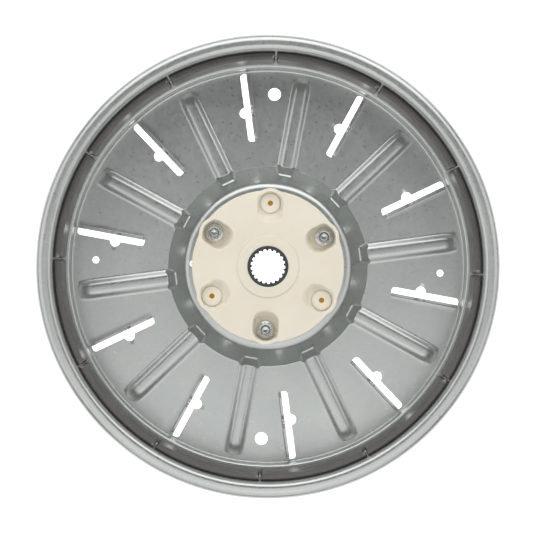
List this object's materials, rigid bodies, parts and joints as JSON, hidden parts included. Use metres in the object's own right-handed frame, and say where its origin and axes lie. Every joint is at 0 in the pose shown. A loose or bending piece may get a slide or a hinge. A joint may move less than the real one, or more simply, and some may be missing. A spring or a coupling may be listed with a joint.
{
  "type": "motor rotor flywheel",
  "caption": "Shallow pressed steel rotor cup with ribs and vaned slots, arc magnets inside its wall, and a bolted plastic hub with a splined steel bush.",
  "frame": {"origin": "on the spin axis, at the underside of the floor, which is the lowest face", "axes": "+Z along the spin axis towards the open side; +X through the index hole's opposite small floor hole, so the small floor holes lie on X and the large ones on Y"},
  "size_m": [0.2984, 0.2984, 0.052],
  "materials": {
    "galvanised_steel": "galvanised, satin, with a fine grain",
    "ferrite": "ground ferrite, matt, dark brown grey",
    "hub_plastic": "moulded, cream, satin",
    "bush_steel": "dark sintered steel, matt",
    "zinc_steel": "bright zinc plate"
  },
  "bodies": {
    "root": {"rotor_cup": "galvanised_steel", "magnet_01": "ferrite", "magnet_02": "ferrite", "magnet_03": "ferrite", "magnet_04": "ferrite", "magnet_05": "ferrite", "magnet_06": "ferrite", "magnet_07": "ferrite", "magnet_08": "ferrite", "magnet_09": "ferrite", "magnet_10": "ferrite", "magnet_11": "ferrite", "magnet_12": "ferrite", "hub": "hub_plastic", "spline_bush": "bush_steel", "flange_bolts": "zinc_steel", "flange_nuts": "zinc_steel"}
  },
  "joints": []
}
